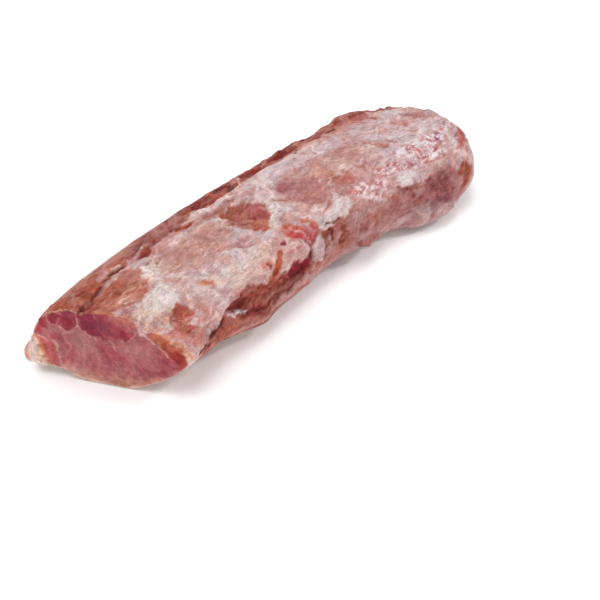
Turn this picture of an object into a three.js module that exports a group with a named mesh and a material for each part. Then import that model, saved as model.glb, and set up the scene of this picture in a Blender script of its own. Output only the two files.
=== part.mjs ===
// A boneless pork loin, lying down: a long, slightly bowed log of meat. Its near end, at -X, is one
// flat slanting knife cut, and its far end is trimmed round. The rib side is up, so the top carries
// the hollows that the ribs left, and a ledge of fat overhangs a groove down the right side.
// Millimetres, +Z up, length along X.
import * as THREE from "three";
import { mergeVertices } from "three/addons/utils/BufferGeometryUtils.js";

// The grid of the surface
const AROUND = 70;
const ROWS = 68;
const FAR_ROWS = 14; // of those rows, how many close the far end

// The log
const CUT_X = -198; // where the cut plane crosses y = 0 at half height
const CUT_SLANT = Math.tan(THREE.MathUtils.degToRad(30)); // the cut is this far from square
const CUT_TILT = 0.05; // and its top leans back a little
const HALF_HEIGHT = 40;
const SLANT_FADES_OVER = 200; // the slant of the rows fades out over this length
const FAR_START = 190; // where the far end starts to round off
const FAR_TIP = 246;
const FAR_CLOSING = 0.14; // how small the last row is before the end closes
const BOW = { at: 40, y: -4, drop: 22, over: 240 }; // the middle line bends towards -Y at both ends
const UNDER = 6; // the underside would reach this far below the ground, where it lies flat

// Reach of the log to each side of its middle line, its height, the heights of its widest lines,
// and how sharp its two flanks are: 1 is an ellipse, less is boxier, more is sharper.
const STATIONS = [
  { x: -200, left: 60, right: 60, top: 80, leftZ: 38, rightZ: 42, leftEdge: 0.88, rightEdge: 1.5 },
  { x: -140, left: 66, right: 61, top: 82, leftZ: 32, rightZ: 44, leftEdge: 0.88, rightEdge: 1.1 },
  { x: -50, left: 66, right: 66, top: 81, leftZ: 31, rightZ: 34, leftEdge: 0.82, rightEdge: 0.87 },
  { x: 40, left: 63, right: 63, top: 80, leftZ: 32, rightZ: 33, leftEdge: 0.82, rightEdge: 0.87 },
  { x: 130, left: 64, right: 66, top: 76, leftZ: 34, rightZ: 30, leftEdge: 0.82, rightEdge: 0.87 },
  { x: 210, left: 61, right: 71, top: 71, leftZ: 36, rightZ: 28, leftEdge: 0.78, rightEdge: 0.85 },
];

// What stands out of the log or is sunk into it: each form runs along a line or sits at one point,
// spreads over a width and has a height, which is negative for a hollow.
const FORMS = [
  // the fat ledge down the right side, the groove that it overhangs, and the strap of meat below
  { name: "ledge", height: 3.5, width: 7, line: [[-112, -70, 62], [-88, -66, 59], [-60, -62, 58],
    [-35, -64, 52], [-7, -62, 54], [18, -58, 58]] },
  { name: "ledge_groove", height: -8, width: 8, line: [[-116, -78, 50], [-82, -70, 45], [-54, -68, 42],
    [-25, -69, 38], [2, -67, 39], [22, -66, 45], [38, -62, 52]] },
  { name: "strap", height: 4, width: 11, line: [[-88, -76, 20], [-72, -74, 18], [-54, -72, 17]] },
  { name: "strap_end", height: 2.5, width: 9, line: [[-52, -72, 18], [-10, -68, 16], [20, -64, 16]] },
  { name: "side_fold", height: -3, width: 6, line: [[48, -62, 50], [62, -66, 38], [84, -68, 26]] },
  { name: "hanging_flap", height: 9, width: 6, line: [[74, -70, 33], [84, -72, 20]] },
  { name: "far_foot", height: 11, width: 16, line: [[146, -76, 12], [180, -84, 14]] },
  { name: "far_side_dip", height: -3, width: 14, line: [[112, -70, 34], [136, -72, 22]] },
  // hollows left by ribs and by the knife
  { name: "rib_hollow", height: -5, width: 17, line: [[-24, -4, 80], [-8, -20, 79]] },
  { name: "near_pit", height: -5, width: 7, line: [[-103, 19, 76]] },
  { name: "near_hollow", height: -5, width: 13, line: [[-139, -66, 66], [-128, -60, 68]] },
  { name: "shallow_hollow", height: -2.5, width: 22, line: [[-92, -2, 81], [-68, -20, 81]] },
  { name: "far_hollow", height: -3, width: 20, line: [[36, -26, 78], [60, -32, 75]] },
  { name: "end_hollow", height: -2.5, width: 18, line: [[150, -10, 77], [176, -22, 74]] },
  // bands and lumps of fat on the top
  { name: "near_band", height: 2.5, width: 9, line: [[-166, -42, 81], [-138, -38, 82], [-117, -41, 79],
    [-100, -46, 76]] },
  { name: "far_band", height: 2.5, width: 12, line: [[-14, 14, 79], [20, 16, 79], [56, 17, 78]] },
  { name: "cross_band", height: 2, width: 9, line: [[-36, -46, 71], [-12, -42, 73], [14, -30, 77]] },
  { name: "ragged_ridge", height: 4, width: 5, line: [[77, -49, 66], [64, -54, 60], [47, -58, 55]] },
  { name: "far_lumps", height: 3, width: 8, line: [[134, -58, 60], [158, -65, 54]] },
  // the strip of meat along the left flank, with the seam that parts it from the top
  { name: "near_seam", height: -4, width: 5, line: [[-196, -2, 78], [-172, 3, 79], [-156, 11, 78],
    [-137, 15, 78], [-120, 12, 78]] },
  { name: "left_seam", height: -3, width: 6, line: [[-46, 34, 73], [0, 37, 73], [50, 37, 72],
    [92, 33, 72]] },
  { name: "left_strip", height: 2, width: 12, line: [[-190, 40, 56], [-130, 55, 52], [-70, 58, 50]] },
  { name: "far_left_strip", height: 5, width: 12, line: [[152, 44, 60], [176, 40, 60]] },
  // the flap of fat that hangs from the lower left corner of the cut
  { name: "fat_tail", height: 15, width: 11, line: [[-220, 35, 18], [-190, 42, 16], [-150, 52, 12]] },
  { name: "lifted_corner", height: -8, width: 22, line: [[-218, 12, 0], [-212, 26, 0]] },
];

const smooth = (t) => THREE.MathUtils.smoothstep(t, 0, 1);
const signedPower = (v, power) => Math.sign(v) * Math.abs(v) ** power;

// One field of the stations, read anywhere along the log.
function fieldCurve(field) {
  const last = STATIONS.length - 1;
  return (x) => {
    const inside = THREE.MathUtils.clamp(x, STATIONS[0].x, STATIONS[last].x);
    const i = Math.min(last - 1, STATIONS.findLastIndex((s) => s.x <= inside));
    const [from, to] = [STATIONS[i], STATIONS[i + 1]];
    return THREE.MathUtils.lerp(from[field], to[field], smooth((inside - from.x) / (to.x - from.x)));
  };
}

const reach = Object.fromEntries(Object.keys(STATIONS[0]).map((field) => [field, fieldCurve(field)]));
const middle = (x) => BOW.y - BOW.drop * ((x - BOW.at) / BOW.over) ** 2;

// A point of the plain log: x along it, angle round it from the left flank over the top, and
// shrink, which closes the far end.
function logPoint(x, angle, shrink) {
  const c = Math.cos(angle);
  const s = Math.sin(angle);
  const edge = c > 0 ? reach.leftEdge(x) : reach.rightEdge(x);
  const side = c > 0 ? reach.left(x) : reach.right(x);
  const widest = THREE.MathUtils.lerp(reach.leftZ(x), reach.rightZ(x), (1 - c) / 2);
  const rise = s > 0 ? reach.top(x) - widest : widest + UNDER;
  const y = side * signedPower(c, edge);
  const z = widest + rise * signedPower(s, edge) - HALF_HEIGHT;
  return new THREE.Vector3(x, middle(x) + y * shrink, HALF_HEIGHT + z * shrink);
}

// Where row number i stands, and how far it has closed.
function rowAt(i) {
  const straight = ROWS - FAR_ROWS;
  if (i <= straight) {
    return { x: THREE.MathUtils.lerp(CUT_X, FAR_START, i / straight), shrink: 1 };
  }
  const turn = ((i - straight) / FAR_ROWS) * Math.acos(FAR_CLOSING);
  return {
    x: FAR_START + (FAR_TIP - FAR_START) * Math.sin(turn) ** 0.9,
    shrink: Math.cos(turn) ** 0.58,
  };
}

// The rows lie in the cut's plane at the near end and stand square further along.
function lean(point) {
  const near = 1 - smooth((point.x - CUT_X) / SLANT_FADES_OVER);
  point.x += near * (CUT_TILT * (point.z - HALF_HEIGHT) - CUT_SLANT * point.y);
}

const formLines = FORMS.map(({ line, ...form }) => {
  const points = line.map((p) => new THREE.Vector3(...p));
  if (points.length === 1) return { ...form, points };
  return { ...form, points: new THREE.CatmullRomCurve3(points).getPoints(8 * (line.length - 1)) };
});

// How far the forms raise the surface at a point.
function relief(point) {
  return formLines.reduce((sum, { height, width, points }) => {
    const distance = Math.min(...points.map((p) => p.distanceTo(point)));
    return sum + height * Math.exp(-((distance / width) ** 2));
  }, 0);
}

// The origin is under the middle of the box that the loin fills.
function centred(geometry) {
  geometry.computeBoundingBox();
  const centre = geometry.boundingBox.getCenter(new THREE.Vector3());
  return geometry.translate(-centre.x, -centre.y, -geometry.boundingBox.min.z);
}

function loinGeometry() {
  const barrel = new THREE.CylinderGeometry(1, 1, ROWS, AROUND, ROWS);
  barrel.deleteAttribute("normal");
  barrel.deleteAttribute("uv");
  barrel.rotateZ(-Math.PI / 2); // its length along X, its first end at -X
  const geometry = mergeVertices(barrel, 1e-4);
  const position = geometry.getAttribute("position");
  for (let i = 0; i < position.count; i += 1) {
    const [along, across, up] = [position.getX(i), position.getY(i), position.getZ(i)];
    const row = rowAt(along + ROWS / 2);
    const angle = Math.atan2(up, across);
    const onAxis = Math.hypot(across, up) < 0.5;
    const point = logPoint(row.x, angle, onAxis ? 0 : row.shrink);
    const outward = new THREE.Vector3(0, point.y - middle(row.x), point.z - HALF_HEIGHT);
    const leaned = point.clone();
    lean(leaned);
    point.addScaledVector(outward.normalize(), relief(leaned));
    point.z = Math.max(point.z, 0);
    lean(point);
    position.setXYZ(i, point.x, point.y, point.z);
  }
  return centred(geometry);
}

const loin = new THREE.Mesh(
  loinGeometry(),
  new THREE.MeshStandardMaterial({ color: 0xb5736a, roughness: 0.45, metalness: 0 }),
);
loin.name = "pork_loin";

const model = new THREE.Group();
model.add(loin);

export default model;
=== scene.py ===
"""A raw boneless pork loin, dressed around its CAD solid.

The loin is one closed mesh. Its surface is laid out as rows that run round the log, so a place on it
has two numbers in millimetres: `a`, how far along from the cut, and `s`, how far round from the top
line, positive down the left flank (+Y) and negative down the right flank (-Y). The cut face has its
own two: `q`, across the cut from its middle, positive to the left, and `z`, the height. The colours
and the low relief are painted in those numbers, as lines and patches with ragged edges.
"""
import math
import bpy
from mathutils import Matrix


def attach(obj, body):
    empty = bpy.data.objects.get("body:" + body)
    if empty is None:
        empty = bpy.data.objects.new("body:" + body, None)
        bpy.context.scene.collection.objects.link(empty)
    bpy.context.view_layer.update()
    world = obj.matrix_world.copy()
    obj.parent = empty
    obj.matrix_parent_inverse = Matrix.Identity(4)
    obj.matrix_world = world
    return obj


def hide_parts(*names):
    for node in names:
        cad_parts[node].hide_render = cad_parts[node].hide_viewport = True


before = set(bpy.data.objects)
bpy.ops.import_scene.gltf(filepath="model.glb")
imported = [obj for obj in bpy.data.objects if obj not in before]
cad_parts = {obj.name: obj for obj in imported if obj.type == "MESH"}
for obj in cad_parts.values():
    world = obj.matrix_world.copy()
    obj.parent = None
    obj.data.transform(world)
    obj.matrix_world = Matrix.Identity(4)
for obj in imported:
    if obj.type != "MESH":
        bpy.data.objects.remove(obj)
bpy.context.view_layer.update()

from types import SimpleNamespace

import bpy
import numpy as np
from mathutils import Vector
from mathutils.bvhtree import BVHTree

NODE = "pork_loin"
MM = 0.001

# --- The log in millimetres, as in the CAD, but from the middle of its box ---
CUT_X = -201.4  # where the cut plane crosses y = 0 at half height
CUT_SLANT = math.tan(math.radians(30))
CUT_TILT = 0.05
HALF_HEIGHT = 40.0
SLANT_FADES_OVER = 200.0
FAR_START = 178.3  # where the far end starts to round off
BOW_AT, BOW_Y, BOW_DROP, BOW_OVER = 28.3, 10.4, 22.0, 240.0

# --- The surface grid ---
ROW_STEP = 1.36
FAN_ROWS = 62  # rows over the rounded far end
FAN_RADIUS = 56.0
RAYS = 720  # rays cast round each row
RAY_BLUR, ROW_BLUR = 3.0, 2.0  # how many rays and rows the solid's facets are smoothed over
HALF_AROUND = 128  # columns down each flank
UPPER_SHARE = 0.66  # this share of each flank's length, from the top line down,
UPPER_COLUMNS = 0.80  # gets this share of the columns
FACE_RINGS = 36
INSET = 0.4  # the first row is read this far behind the cut
RIM_DROP = 0.9  # and is drawn in by this, so the rim of the cut is a little round,
RIM_BACK = 0.15  # and set back by this
SECOND_DROP = 0.25  # the second row is drawn in by this
FACE_GAP = 0.3  # between the first row and the cut face
FACE_WET = 0.12
FACE_PLACE = 600  # added to `z` on the cut face, to keep it apart from the outside

# --- The studio ---
CAMERA_PLACE = (-690.8, -713.9, 870.6)  # millimetres
CAMERA_AZIMUTH, CAMERA_ELEVATION = math.radians(-45.717), math.radians(42.434)
LENS, SENSOR_WIDTH = 85.8, 36.0
SKY_STRENGTH = 0.45
LIGHTS = [  # name, place, what it faces, width and height in metres, and watts
    ("overhead", (-0.3, 0.5, 2.2), (0, 0, 0), (2.6, 2.2), 62),
    ("front", (-1.3, -1.1, 1.1), (0, 0, 0.04), (1.0, 0.8), 8),
    ("glint", (1.1, -1.0, 1.45), (0.1, 0, 0.06), (0.22, 0.3), 12),
]
FLOOR_SIZE, FLOOR_DROP = 8.0, 0.0002  # metres

# --- Tones, as sRGB from 0 to 255 ---
TONES = {
    "white": (226, 214, 210), "fat": (212, 192, 188), "lilac": (214, 192, 196),
    "pink": (196, 156, 154), "rose": (184, 122, 114), "dusk": (158, 100, 96),
    "tan": (190, 136, 120), "clay": (166, 86, 66), "rust": (146, 66, 46), "ember": (182, 82, 56),
    "apricot": (212, 142, 112), "russet": (138, 64, 52), "brown": (124, 54, 42),
    # the last tone here, a lilac white, is painted highlight for glints on wet meat
    "umber": (98, 34, 28), "pit": (78, 20, 20), "sheen": (238, 224, 232),
    "strap": (172, 116, 108), "burgundy": (112, 44, 46), "blood": (128, 24, 46),
    "crimson": (174, 52, 56), "coral": (206, 106, 92), "plum": (142, 86, 88),
    "mauve": (176, 118, 118), "silver": (180, 158, 160), "eye": (162, 96, 98),
    "cap": (128, 36, 54), "night": (108, 10, 54), "wine": (148, 60, 70),
    "dove": (168, 116, 114), "seam": (208, 160, 154), "cream": (224, 194, 172),
    "under": (214, 180, 166), "amber": (202, 122, 84), "violet": (116, 58, 82),
}
BASE_RAMP = ("rose", "pink", "fat", "white")
LUMINANCE = np.array([0.3, 0.5, 0.2])
GLOSS_SHARE = 0.025  # of the light that comes off the surface without its colour
TOP_LIGHT, SIDE_LIGHT = 1.50, 0.94  # how strongly the studio lights level and upright surfaces

# --- The paint ---
# Each row of these texts is a line, or a patch where it says so. It gives a tone, how fully it covers,
# its half width (for a patch, the width of its edge), how far it rises, and its places, as a,s. These
# are in millimetres. Later rows lie over earlier ones, and an indented row goes on from the one above.
# a dark line under the white lump: brown meat, deepened as painted shadow under its edge
# a pale streak along the strap, partly painted highlight
# a silver membrane in the hollow, and on it glints of painted highlight
# the dark hollow under the ledge, its browns and reds partly the meat's own and partly painted shade under
# the overhang
# wet, speckled meat beyond, where the lilac patch and strokes are partly painted highlight
OUTSIDE_PAINT = """
# the ground of the darker strip along the left shoulder
patch dusk .88 3 -.3: 100,28 114,26 126,28 140,27 150,34 158,28 168,25 184,24 194,25 207,30 218,27 236,24
  252,27 280,36 298,38 310,35 324,35 340,37 351,42 362,30 370,31 378,40 390,32 402,32 420,40 420,70 300,72
  108,74

# the dark hollow under the ledge
patch russet .92 5 -.4: 20,-84 50,-84 70,-80 76,-68 100,-66 130,-70 150,-76 180,-72 216,-60 262,-60
  262,-124 20,-124
patch strap .85 7 -.5: 212,-74 240,-64 262,-58 300,-62 318,-66 352,-68 400,-72 408,-90 380,-112 206,-122
  200,-98
patch brown .9 3 -1: 75,-69 90,-67 108,-63 122,-66 130,-74 122,-80 104,-80 84,-79 77,-77
patch burgundy .8 4 -.4: 74,-70 90,-67 104,-66 108,-76 98,-81 82,-79
tan .4 3 .2: 106,-69 118,-72 128,-78
umber .8 2.6 -.8: 76,-72 80,-78 92,-80
pit .6 1.8 -.6: 80,-70 92,-69
patch rust .4 4 -.4: 114,-78 130,-73 146,-76 166,-73 178,-92 160,-94 136,-92 118,-86
tan .5 1.2 .3: 120,-76 132,-84 144,-90
tan .4 1 .3: 148,-78 168,-90
burgundy .6 1.6 -.4: 156,-78 164,-84 176,-91
umber .6 1.4 -.6: 116,-74 128,-82 140,-88
umber .6 1.6 -.6: 138,-78 144,-84 150,-89
umber .9 2 -.8: 16,-82 30,-81 40,-84 52,-86 62,-85 72,-82
patch blood .85 3 -.4: 98,-87 112,-86 130,-92 124,-97 104,-93
pit .7 2.4 -.7: 104,-89 114,-90 122,-93
plum .5 4 -.3: 146,-94 168,-97
brown .5 4 -.4: 126,-89 144,-93
umber .6 1.3 -.5: 120,-94 136,-96 152,-95
brown .6 1.3 -.4: 150,-95 170,-98 192,-97
strap .6 1.2 .4: 140,-92 156,-91 168,-94
patch blood .97 3 -.7: 170,-72 188,-72 198,-84 209,-84 205,-92 194,-95 184,-93 176,-88
crimson .4 2 0: 180,-78 188,-88
night .5 3 -.6: 184,-78 194,-88
silver .8 2.4 .3: 78,-78 84,-82 94,-83 104,-86
sheen .9 1.2 .4: 79,-80 83,-83
sheen .8 1 .4: 88,-82 94,-83 97,-85
sheen .7 .8 .3: 101,-87 105,-87
sheen 1 1 .5: 79,-78 81,-80
sheen 1 1 .5: 84,-81 86,-84
sheen 1 .9 .5: 91,-81 96,-82
sheen .9 .9 .4: 99,-85 104,-86
plum .5 1.4 -.3: 88,-79 96,-80
# the strap along the foot of the flank
patch clay .6 5 0: 44,-89 60,-88 80,-88 98,-92 96,-102 60,-104 40,-96
pink .6 1.4 .4: 34,-82 48,-89
rose .5 3 .2: 84,-92 96,-94
ember .4 2 0: 56,-92 70,-91 80,-93
wine .4 1.4 -.3: 48,-96 86,-98
patch strap .85 4 .6: 20,-90 60,-99 100,-100 130,-103 150,-101 180,-101 200,-98 210,-106 196,-120 20,-124
strap .8 2 .5: 132,-90 150,-93 170,-95 188,-94
pink .6 1.4 .5: 60,-102 90,-101 116,-104 140,-103 160,-100
pink .7 3.5 .5: 150,-103 176,-102 204,-100
brown .5 1.2 -.5: 70,-108 110,-109 150,-107
# the folds of the flank past the ledge
pink .7 1.8 .5: 206,-96 216,-86 226,-79 234,-72
pink .6 1.6 .5: 212,-100 222,-90 232,-84
umber .7 1.2 -.6: 210,-93 220,-83 232,-74
rust .45 4 -.2: 262,-80 272,-82
tan .6 5 -.2: 302,-66 314,-72
patch plum .7 8 -.4: 312,-78 326,-70 352,-74 358,-96 330,-100 314,-94
brown .5 3 -.4: 334,-74 340,-82 338,-90
brown .6 3 -.5: 343,-93 346,-98
silver .5 2.4 .2: 324,-84 330,-88 336,-96
patch plum .85 4 -.6: 350,-66 368,-66 378,-74 382,-88 376,-97 362,-96 354,-84
rose .7 3 .3: 370,-61 382,-67 386,-80
brown .5 1.2 -.4: 356,-69 360,-80 361,-92
mauve .6 1.2 .4: 362,-70 367,-82 367,-92
brown .4 1 -.4: 368,-71 373,-82 373,-92
plum .5 4 -.3: 320,-78 328,-90
patch silver .4 4 .2: 334,-90 346,-89 358,-93 358,-102 338,-102
wine .6 1.6 -.6: 352,-68 360,-66 372,-66
silver .5 2 .3: 382,-80 384,-92 390,-98
patch rust .85 4 0: 388,-74 396,-70 404,-74 403,-86 398,-96 388,-98 390,-86
ember .6 2.4 .2: 399,-76 399,-86 395,-94
patch silver .5 8 0: 200,-98 240,-94 300,-92 360,-94 384,-98 380,-122 196,-122
patch pink .3 7 .2: 340,-102 366,-100 372,-116 330,-118 310,-108
umber .85 1.8 -.6: 233,-63 237,-68 234,-74
patch dusk .45 8 .2: 240,-66 262,-66 322,-74 320,-94 280,-96 240,-92
clay .4 4 -.2: 282,-72 290,-84
pink .5 4 .3: 226,-82 234,-77 242,-75
pink .4 3 .2: 256,-74 266,-64 278,-64
brown .7 2.4 -.6: 249,-68 249,-76 243,-83
rust .6 3 -.3: 252,-78 244,-86
rust .85 5 3.2: 268,-96 276,-99 286,-101
brown .8 2.4 -.2: 264,-94 268,-100

# the clay-coloured lean at the near end, either side of its seam
patch clay .85 6 -.5: -4,24 -4,72 40,76 80,70 112,60 112,46 97,40 84,34 66,30 50,30 34,27 14,25
patch rust .45 8 0: 2,34 4,50 56,58 60,48 46,38 26,32
pink .5 2.5 .3: 20,60 44,64 60,62
rose .5 3 .3: 6,62 24,68
cream .6 1.2 .2: 1,36 1,60
umber .5 2 -.5: 22,46 30,40
ember .7 2.2 0: 34,33 38,36
silver .75 3 0: 48,40 54,39 60,42
silver .5 2 0: 64,48 72,50
brown .7 2.5 -.5: 60,57 66,54
umber .8 1.6 -.8: 56,36 62,33 68,32
patch tan .5 5 .2: 74,42 84,44 104,58 98,68 80,60
patch dusk .8 3 0: 76,34 86,31 97,37 106,36 110,46 96,48 80,42
brown .7 1.4 -.6: 84,34 95,38 106,44
pink .5 1.6 .3: 10,36 30,52
cream .4 1 .3: 44,50 54,56 62,64
white .8 2.4 .6: 64,38 68,37
patch clay .85 6 -.4: -8,26 -8,4 2,-2 10,-6 20,-12 34,-13 46,-12 50,-4 60,6 66,14 60,24 40,24 20,23
patch rust .4 7 -.2: 6,18 10,6 28,4 44,8 46,18 24,22
patch rose .6 6 0: 46,2 60,10 72,20 62,30 50,26 42,12
cream .55 2 .3: 14,0 24,0 32,-2
fat .6 1.2 .3: 18,-4 24,-8 30,-11
crimson .35 3 0: 32,-2 40,-6
coral .35 3 0: 40,-12 50,-14
rose .5 1.2 -.3: 38,6 48,12 58,20
amber .6 2.8 .3: 1,10 1,-20
wine .6 3 -.3: 0,19 6,19 14,23
pink .5 1.2 .3: 10,10 20,13 30,14
cream .6 .9 .3: 22,4 34,4 42,0
cream .5 .9 .3: 30,-4 42,-3 50,2
brown .5 3 -.5: 8,24 34,28
umber .85 1.5 -.9: 2,26 10,28 20,28 30,29 40,32
silver .6 1.2 0: 30,26 36,28
cream .85 2 .5: 50,-7 66,1 82,11
white .6 1.4 .4: 58,-8 76,1
cream .7 1.3 .4: 78,9 88,15 98,20
rust .7 1 -.5: 73,1 80,6 88,10
rust .5 1 -.4: 70,10 78,14 86,20
fat .8 3 .4: 66,21 76,18 86,17
silver .6 2 0: 64,19 70,16
patch plum .5 8 -.3: 98,50 104,34 116,32 134,32 136,46 112,54
patch rust .9 3 -1.4: 81,24 87,20 94,21 98,27 102,35 97,36 89,31
blood .45 2.6 -.8: 88,25 94,31
# the white fat over it
patch white .85 6 .6: 20,-18 28,-14 44,-13 54,-16 58,-24 52,-34 42,-38 32,-38 16,-26
patch cream .75 6 .2: 4,-20 18,-16 22,-32 12,-38 4,-34
lilac .6 3 .3: 34,-34 42,-35
lilac .5 3 .2: 8,-26 16,-30
tan .75 4 -.3: 62,-17 66,-21
patch pink .4 7 0: 58,-26 70,-30 76,-42 60,-44 50,-38
patch apricot .85 4 0: 72,-38 78,-34 88,-37 90,-42 84,-47 75,-44
ember .6 3.5 0: 78,-40 84,-42
coral .3 5 0: 92,-40 98,-46
coral .3 6 0: 8,-42 12,-50

# the wet window in the fat by the cut, and the pale fat round it
patch apricot .5 5 0: 20,-32 32,-34 32,-44 18,-44
patch coral .5 5 -.2: 40,-60 54,-57 60,-66 40,-70
patch clay .85 4 -.8: 21,-44 30,-38 44,-38 48,-46 45,-54 39,-60 34,-66 26,-68 19,-62 20,-52
patch ember .4 5 -.3: 30,-40 44,-40 44,-50 34,-54 28,-48
patch rust .25 4 -.4: 24,-52 32,-52 32,-60 24,-62
rust .35 4 0: 22,-66 34,-66
crimson .5 2 0: 28,-63 36,-62
crimson .35 2.4 0: 38,-48 42,-56
pink .7 2.4 .4: 14,-46 16,-52 14,-62
coral .5 5 0: 13,-52 18,-70 40,-74
patch rose .5 6 .4: 50,-42 60,-42 70,-56 66,-66 48,-64
rose .6 2 -.3: 48,-57 54,-51
white .7 1 .4: 44,-68 66,-57
rose .5 1 -.4: 48,-70 58,-65 70,-60
patch apricot .7 4 .2: -6,-34 4,-36 7,-52 7,-68 8,-80 -4,-80
ember .85 2.6 0: -2,-42 0,-54 -1,-70
patch rose .6 6 .3: 14,-68 44,-70 68,-66 70,-80 40,-80 14,-78
rose .7 1.6 -.6: 42,-69 51,-80
cream .8 3 .5: 58,-68 62,-74 67,-79
lilac .5 1 .3: 64,-67 70,-75

# the thin-skinned middle of the top
patch tan .6 7 -.3: 70,-4 84,10 105,15 125,12 150,10 158,2 156,-10 140,-16 122,-22 104,-26 86,-22 72,-14
patch rose .35 8 -.2: 84,4 110,10 140,4 150,-6 120,-14 92,-12
patch silver .35 8 0: 124,-16 160,-12 166,-26 156,-38 138,-36 120,-30
mauve .7 2.4 -.5: 141,-30 147,-36 152,-39
mauve .6 4 -.3: 146,-28 153,-31
mauve .5 3.4 -.3: 136,-20 139,-26
patch mauve .4 4 -.3: 98,-28 108,-24 118,-30 114,-38 102,-38
coral .35 4 0: 126,-19 134,-25
lilac .4 6 .2: 94,-28 108,-30
cream .6 1.3 .5: 160,9 157,0 154,-7
white .5 1.2 .4: 118,-26 132,-28 142,-37 154,-41 170,-42
fat .7 1.8 .3: 68,-14 76,-28 88,-38 102,-46 120,-53
white .5 6 .3: 96,-44 124,-46 150,-44
rose .4 4 0: 140,18 152,15
tan .6 4 0: 126,20 138,16
rust .85 3.6 -.5: 128,24 133,22
# the bare brown window
patch dusk .8 5 -.2: 142,19 158,21 176,20 188,14 176,9 160,9 148,12
tan .6 2 .2: 144,14 156,14 166,10
brown .4 1.6 -.4: 148,17 160,15 172,16
patch clay .8 7 -.8: 160,13 172,13 184,8 191,2 196,-3 196,-13 192,-20 186,-26 180,-31 173,-29 168,-25
  160,-11 158,-2 161,5
patch brown .4 7 -.4: 162,10 178,8 186,0 184,-12 176,-12 166,-2
patch plum .5 6 -.3: 160,2 168,2 172,-10 168,-18 161,-12
patch wine .55 5 -.3: 184,3 194,-2 195,-12 189,-22 182,-16
patch ember .5 4 -.2: 168,-20 180,-20 184,-26 177,-30 170,-27
umber .6 1.2 -.5: 172,-12 176,-15
umber .6 1.2 -.5: 181,-10 184,-13
umber .5 1.2 -.5: 176,4 180,0
tan .6 2 .2: 162,-10 166,-16
rose .5 1.2 .3: 164,4 168,-6
rose .4 1.2 .3: 182,-2 188,-10
# the white and lilac fat beyond it
patch lilac .6 8 .3: 196,22 230,24 226,4 216,-8 204,-14 200,0
white .7 3 .6: 200,0 202,-12 198,-23 189,-33
patch white .6 5 .4: 203,6 224,5 228,19 208,22
silver .6 3 0: 190,9 196,5
coral .6 1.6 0: 203,10 206,12
cream .7 1.6 .4: 203,-6 206,-10
clay .75 1.5 -.3: 210,-12 216,-16 223,-18
cream .6 1 .4: 212,-9 222,-14
white .6 1.2 .4: 200,-22 226,-44
white .7 4 .5: 224,24 250,24 276,27 300,28
lilac .8 8 .3: 232,17 262,14 290,16 312,13
# rosier patches towards the far end
patch tan .6 9 -.2: 236,4 264,6 300,6 330,0 326,-20 296,-24 262,-24 246,-12
patch rose .45 9 0: 296,10 320,6 330,-8 310,-18 294,-8
patch apricot .3 6 0: 258,-6 276,-8 284,-22 266,-24
patch mauve .9 7 -.4: 222,2 236,4 256,-10 266,-22 260,-34 244,-40 232,-34 224,-18
wine .3 4.5 -.2: 224,-3 234,-6
plum .5 4 -.3: 238,-33 244,-35
patch clay .8 4.5 -.5: 267,-24 279,-22 289,-26 289,-36 279,-37 270,-32
ember .6 3 -.2: 280,-31 286,-32
clay .7 1.5 -.4: 300,-23 306,-28 313,-23
crimson .5 1.2 -.3: 288,-25 296,-24
lilac .6 4 .4: 292,-30 300,-36
rust .6 1.6 -.4: 238,-46 246,-43 251,-40
umber .7 1.2 -.5: 263,-41 265,-45

# lumps and creases over the far end
patch lilac .35 12 0: 326,14 350,24 400,20 434,4 434,-30 404,-60 356,-66 320,-56 316,-20
patch lilac .5 8 .3: 348,-2 362,-4 376,-8 384,-20 364,-26 350,-16
patch clay .6 3 -.5: 337,-8 345,-11 350,-17 344,-21 339,-16
patch clay .3 5 -.3: 332,4 346,-2 348,-14 336,-12
wine .5 1.2 -.6: 333,0 335,-5 338,-9
clay .5 2 -.3: 352,-11 356,-18
patch rose .85 5 -.6: 376,8 392,9 403,2 396,-6 382,-5 374,1
rose .6 1.3 -.9: 372,-2 380,-10 388,-16
clay .4 2 -.3: 384,-14 392,-17
apricot .5 2.4 0: 358,6 366,2
clay .45 4 -.3: 275,-26 285,-30
clay .5 1.4 -.9: 352,34 360,22 370,10 380,4
lilac .7 3.5 .8: 362,18 372,10 374,2
clay .7 2.4 -.4: 371,27 374,21
tan .7 3 -.2: 332,27 336,23
lilac .6 5 .6: 384,26 398,22 410,14
mauve .8 4.5 -.8: 408,9 418,2 430,2
rose .5 3 -.4: 416,-2 432,2
mauve .6 2.4 -.4: 410,20 418,14
lilac .6 4 .6: 400,-10 414,-16 430,-18
lilac .85 2 .6: 404,-40 418,-34 430,-28
plum .5 1.4 -.5: 406,-35 418,-29 432,-23
patch crimson .6 3.5 -.2: 401,-58 408,-50 417,-44 432,-37 436,-42 424,-52 412,-60
rust .6 1.6 -.4: 414,-45 422,-42 430,-40
rose .7 2.5 -.2: 400,-46 406,-41
ember .5 2.4 0: 408,-64 414,-60

# the pale fat above the ledge, with its vessels and red lumps
patch coral .42 7 0: 120,-52 176,-46 210,-50 208,-72 176,-72 124,-66
patch rose .4 7 0: 196,-28 216,-30 240,-40 262,-44 262,-50 214,-44 192,-40
patch fat .5 6 .4: 100,-52 128,-50 150,-46 172,-40 190,-46 186,-66 170,-74 146,-70 128,-62 104,-62
patch pink .95 2.5 1: 176,-62 180,-57 198,-56 203,-64 208,-76 205,-82 198,-85 192,-79 187,-70
patch cream .35 8 0: 90,-50 112,-40 140,-44 168,-44 160,-62 94,-62
white .5 1 .4: 74,-54 76,-60 77,-66
rose .45 .9 -.3: 80,-54 82,-60 83,-66
cream .5 1 .4: 88,-54 90,-65
rose .4 .9 -.3: 95,-54 96,-62
lilac .6 3 .3: 186,-56 198,-58 200,-66
coral .6 4 0: 145,-58 151,-60
blood .85 1.2 -.8: 150,-58 153,-61 150,-64
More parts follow.
